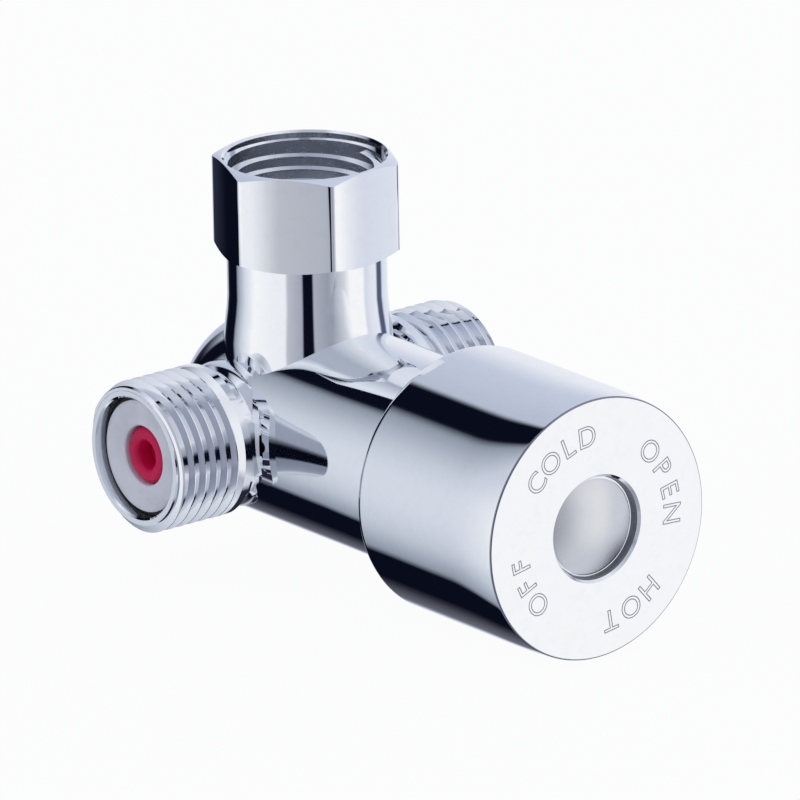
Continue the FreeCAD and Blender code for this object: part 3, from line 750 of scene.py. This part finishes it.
class VALVE_OT_cover(bpy.types.Operator):
    """Turns the knob's domed cover with its bright rim"""
    bl_idname = "valve.cover"
    bl_label = "Cover"

    def execute(self, context):
        r = CAP_BORE_R - 0.25
        rim = KNOB_FACE + 1.4
        ball = (6.6 ** 2 + 1.2 ** 2) / (2 * 1.2)
        dome = [(ball * math.sin(a), KNOB_FACE + ball - ball * math.cos(a))
                for a in (math.asin(6.6 / ball) * k / 24 for k in range(1, 25))]
        cover = lathe("knob_cover", "Y",
                      [(0, KNOB_FACE)] + dome
                      + [(6.68, rim - 0.12), (6.82, rim - 0.1), (r, rim + 0.05), (r, CAP_FLOOR),
                         (r - 1.0, CAP_FLOOR), (r - 1.0, rim + 0.9), (0, rim + 0.9)], segments=192)
        smooth(cover)
        wear(cover, "satin_chrome")
        cover.data.materials.append(FINISH["polished_chrome"])
        for polygon in cover.data.polygons:
            radius = math.hypot(polygon.center.x, polygon.center.z + ROW_Z * MM) / MM
            if 6.6 < radius < r + 0.1 and polygon.center.y / MM < rim + 1:
                polygon.material_index = 1
        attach(cover, "knob")
        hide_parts("knob_cap")
        return {"FINISHED"}


class VALVE_OT_check_valves(bpy.types.Operator):
    """Turns the visible pieces of both check valves"""
    bl_idname = "valve.check_valves"
    bl_label = "Check valves"

    def execute(self, context):
        for side, end in INLET_END.items():
            s = 1 if end > 0 else -1
            centre = (0, INLET_Y, INLET_Z)

            def inwards(profile):
                return [(r, end - s * depth) for r, depth in profile]

            housing = lathe(f"{side}_valve_housing", "X", inwards(
                [(4.15, 1.75), (4.3, 1.6), (4.6, 1.54), (6.7, 1.3), (7.0, 1.2), (7.55, 1.2), (7.7, 1.27),
                 (7.75, 1.4), (7.75, 3.2), (7.27, 3.2), (7.27, 13.0), (5.6, 13.0), (5.6, 3.9), (4.15, 3.9)]),
                centre, hollow=True)
            wear(smooth(housing), "white_plastic")
            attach(housing, "body")
            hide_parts(f"{side}_check_housing")

            poppet = lathe(f"{side}_valve_poppet", "X", inwards(
                [(0, 4.4), (1.85, 4.4), (1.95, 2.5), (2.1, 2.1), (2.5, 1.85), (3.0, 1.8), (3.5, 1.95),
                 (3.85, 2.3), (3.95, 2.8), (3.95, 3.9), (5.0, 3.9), (5.0, 5.3), (1.2, 5.3),
                 (1.2, 11.6), (0, 11.6)]), centre)
            wear(smooth(poppet, 40), "red_plastic" if side == "hot" else "blue_plastic")
            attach(poppet, f"{side}_poppet")
            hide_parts(f"{side}_check_poppet")

            seal = lathe(f"{side}_valve_seal", "X", inwards(
                [(7.78, 1.95), (7.95, 1.8), (8.15, 1.8), (8.32, 1.95), (8.32, 3.2), (7.78, 3.2)]),
                centre, hollow=True)
            wear(smooth(seal, 50), "black_rubber")
            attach(seal, "body")
            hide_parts(f"{side}_check_seal")

            head, guide = end - s * CHECK_HEAD, end - s * CHECK_GUIDE
            spring = coil_spring(f"{side}_valve_spring", "X", centre, *sorted((head, guide)), *CHECK_COIL)
            wear(smooth(spring, 60), "spring_steel")
            point(head, INLET_Y, INLET_Z)
            point(guide, INLET_Y, INLET_Z)
            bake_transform(spring)
            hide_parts(f"{side}_check_spring")
        return {"FINISHED"}


class VALVE_OT_return_spring(bpy.types.Operator):
    """Coils the return spring and cuts it into two halves at the middle between the shuttle's web and the
    cartridge's cap
    """
    bl_idname = "valve.return_spring"
    bl_label = "Return spring"

    def execute(self, context):
        web, cap = SHUTTLE_WEB_Y, CARTRIDGE_CAP_Y
        middle = 0.5 * (web + cap)
        halves = {"return_spring_front": ("shuttle", "adjuster", web, middle),
                  "return_spring_rear": ("adjuster", "body", middle, cap)}
        for name, (first, second, start, end) in halves.items():
            half = coil_spring(name, "Y", (0, 0, 0), web, cap, *RETURN_COIL)
            pick(half)
            bpy.ops.object.mode_set(mode="EDIT")
            bpy.ops.mesh.select_all(action="SELECT")
            bpy.ops.mesh.bisect(plane_co=point(0, middle, 0), plane_no=(0, 1, 0), use_fill=True,
                                clear_outer=start == web, clear_inner=start != web)
            bpy.ops.object.mode_set(mode="OBJECT")
            wear(smooth(half, 60), "spring_steel")
            point(0, start, 0)
            point(0, end, 0)
            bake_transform(half)
        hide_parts("return_spring")
        return {"FINISHED"}


class VALVE_OT_stage(bpy.types.Operator):
    """Lays the floor, lights the studio and sets the camera"""
    bl_idname = "valve.stage"
    bl_label = "Stage"

    def execute(self, context):
        settings = context.scene.valve_stage
        clear_selection()
        bpy.ops.mesh.primitive_plane_add(size=4.0, location=(0, 0, CAD_BOX[0].z - 0.0002))
        floor = settle(bpy.context.object, "floor")
        material, g = new_material("pale_floor")
        path = g.out(g.node("ShaderNodeLightPath"), "Is Camera Ray")
        matt = g.node("ShaderNodeBsdfDiffuse", Color=(0.93, 0.935, 0.945))
        glow = g.node("ShaderNodeEmission", Color=(1.0, 1.0, 1.0), Strength=1.0)
        mixed = g.node("ShaderNodeMixShader", i0=path * 0.95, i1=g.out(matt), i2=g.out(glow))
        g.surface(mixed)
        floor.data.materials.append(material)
        floor.visible_glossy = False
        self.studio(settings.light)
        self.camera(settings)
        context.scene.view_settings.view_transform = "Standard"
        return {"FINISHED"}

    def studio(self, strength):
        """A world of pale, white and black rings by azimuth and height that the polished metal reflects."""
        world = bpy.data.worlds.new("studio")
        bpy.context.scene.world = world
        g = Graph(world)
        place = g.out(g.node("ShaderNodeTexCoord"), "Generated")
        apart = g.node("ShaderNodeSeparateXYZ", Vector=place)
        x, y, z = (g.out(apart, letter) for letter in "XYZ")
        degrees = 180 / math.pi
        around = y.math("ARCTAN2", x) * degrees
        up = z.math("ARCSINE") * degrees

        def ring(stops):
            """Colours round the room at one height, by azimuth in degrees from +X towards +Y."""
            placed = [((azimuth + 180) / 360, colour) for azimuth, colour in stops]
            made = g.node("ShaderNodeValToRGB", {"stops": placed}, Fac=(around + 180.0) / 360.0)
            return g.out(made, "Color")

        black, slate = (0.003, 0.004, 0.011), (0.09, 0.11, 0.19)
        white, pale, dusk = (1.0, 1.0, 1.0), (0.55, 0.60, 0.72), (0.29, 0.33, 0.40)
        high = ring([(-180, (0.48, 0.52, 0.61)), (-120, (0.46, 0.50, 0.58)), (-60, (0.86, 0.88, 0.93)),
                     (0, (0.70, 0.75, 0.86)), (50, (0.60, 0.65, 0.78)), (88, (0.50, 0.55, 0.66)),
                     (92, black), (111, black), (116, dusk), (130, (0.60, 0.64, 0.73)),
                     (158, (0.85, 0.88, 0.95)), (180, (0.48, 0.52, 0.61))])
        middle = ring([(-180, (0.92, 0.93, 0.96)), (-160, (0.90, 0.91, 0.95)), (-156, (0.52, 0.54, 0.60)),
                       (-136, (0.38, 0.41, 0.49)),
                       (-134, black), (-121, black), (-119, (0.42, 0.45, 0.52)), (-98, (0.33, 0.35, 0.42)),
                       (-74, (0.68, 0.70, 0.76)), (-64, white), (-41, white), (-36, (0.72, 0.75, 0.85)),
                       (-26, (0.80, 0.82, 0.90)), (-12, (0.86, 0.88, 0.93)), (-7, slate), (3, slate),
                       (9, (0.72, 0.77, 0.88)),
                       (40, (0.86, 0.88, 0.94)), (54, (0.84, 0.86, 0.92)), (62, pale),
                       (74, (0.48, 0.53, 0.64)),
                       (77, (0.03, 0.035, 0.06)), (86, black), (109, black), (113, dusk),
                       (131, (0.70, 0.74, 0.82)), (150, white),
                       (180, (0.92, 0.93, 0.96))])
        low = ring([(-180, (0.44, 0.48, 0.56)), (-134, (0.30, 0.33, 0.40)), (-64, (0.80, 0.82, 0.88)),
                    (-30, (0.66, 0.69, 0.78)), (-17, (0.02, 0.02, 0.035)),
                    (46, (0.02, 0.02, 0.035)), (54, (0.56, 0.60, 0.70)),
                    (59, (0.16, 0.17, 0.21)), (80, (0.03, 0.03, 0.045)), (86, black), (110, black),
                    (114, dusk), (128, (0.58, 0.63, 0.71)), (158, (0.80, 0.83, 0.90)),
                    (180, (0.44, 0.48, 0.56))])
        colour = g.blend(up.step(-34.0, -24.0), low, middle)
        colour = g.blend(up.step(4.0, 32.0), colour, high)
        seen = g.out(g.node("ShaderNodeLightPath"), "Is Camera Ray")
        colour = g.blend(seen, colour, (1.0, 1.0, 1.0))
        background = g.node("ShaderNodeBackground", Color=colour, Strength=strength)
        output = g.node("ShaderNodeOutputWorld")
        g.tree.links.new(background.outputs[0], output.inputs["Surface"])

    def camera(self, settings):
        azimuth, elevation, roll = math.radians(-37.9), math.radians(18.34), math.radians(-1.05)
        back = Vector((math.sin(azimuth) * math.cos(elevation), -math.cos(azimuth) * math.cos(elevation),
                       math.sin(elevation)))
        right = Vector((math.cos(azimuth), math.sin(azimuth), 0))
        upward = back.cross(right)
        target = point(0, 0, 0) + right * 12.22 * MM + upward * 2.20 * MM
        data = bpy.data.cameras.new("studio_camera")
        data.lens, data.sensor_width = settings.lens, 36.0
        data.clip_start, data.clip_end = 0.1, 20.0
        camera = bpy.data.objects.new("studio_camera", data)
        bpy.context.scene.collection.objects.link(camera)
        camera.location = target + back * settings.distance
        camera.rotation_mode = "QUATERNION"
        camera.rotation_quaternion = (-back).to_track_quat("-Z", "Y") @ Quaternion((0, 0, 1), roll)
        bpy.context.scene.camera = camera


class VALVE_PT_panel(bpy.types.Panel):
    """Lists the valve's pieces and its settings"""
    bl_idname = "VALVE_PT_panel"
    bl_label = "Mixing Valve"
    bl_space_type = "VIEW_3D"
    bl_region_type = "UI"
    bl_category = "Valve"

    def draw(self, context):
        for operator in OPERATORS:
            self.layout.operator(operator.bl_idname)
        for group in ("valve_sizes", "valve_finishes", "valve_stage"):
            settings = getattr(context.scene, group)
            for name in settings.bl_rna.properties.keys():
                if name not in {"rna_type", "name"}:
                    self.layout.prop(settings, name)


GROUPS = {"valve_sizes": ValveSizes, "valve_finishes": ValveFinishes, "valve_stage": StageSettings}
OPERATORS = [VALVE_OT_finishes, VALVE_OT_body, VALVE_OT_knob, VALVE_OT_cover, VALVE_OT_check_valves,
             VALVE_OT_return_spring, VALVE_OT_stage]


def register():
    for group in [*GROUPS.values(), *OPERATORS, VALVE_PT_panel]:
        bpy.utils.register_class(group)
    for name, group in GROUPS.items():
        setattr(bpy.types.Scene, name, PointerProperty(type=group))


def unregister():
    for name in GROUPS:
        delattr(bpy.types.Scene, name)
    for group in reversed([*GROUPS.values(), *OPERATORS, VALVE_PT_panel]):
        bpy.utils.unregister_class(group)


def main():
    register()
    for operator in OPERATORS:
        group, name = operator.bl_idname.split(".")
        getattr(getattr(bpy.ops, group), name)()


if __name__ == "__main__":
    main()
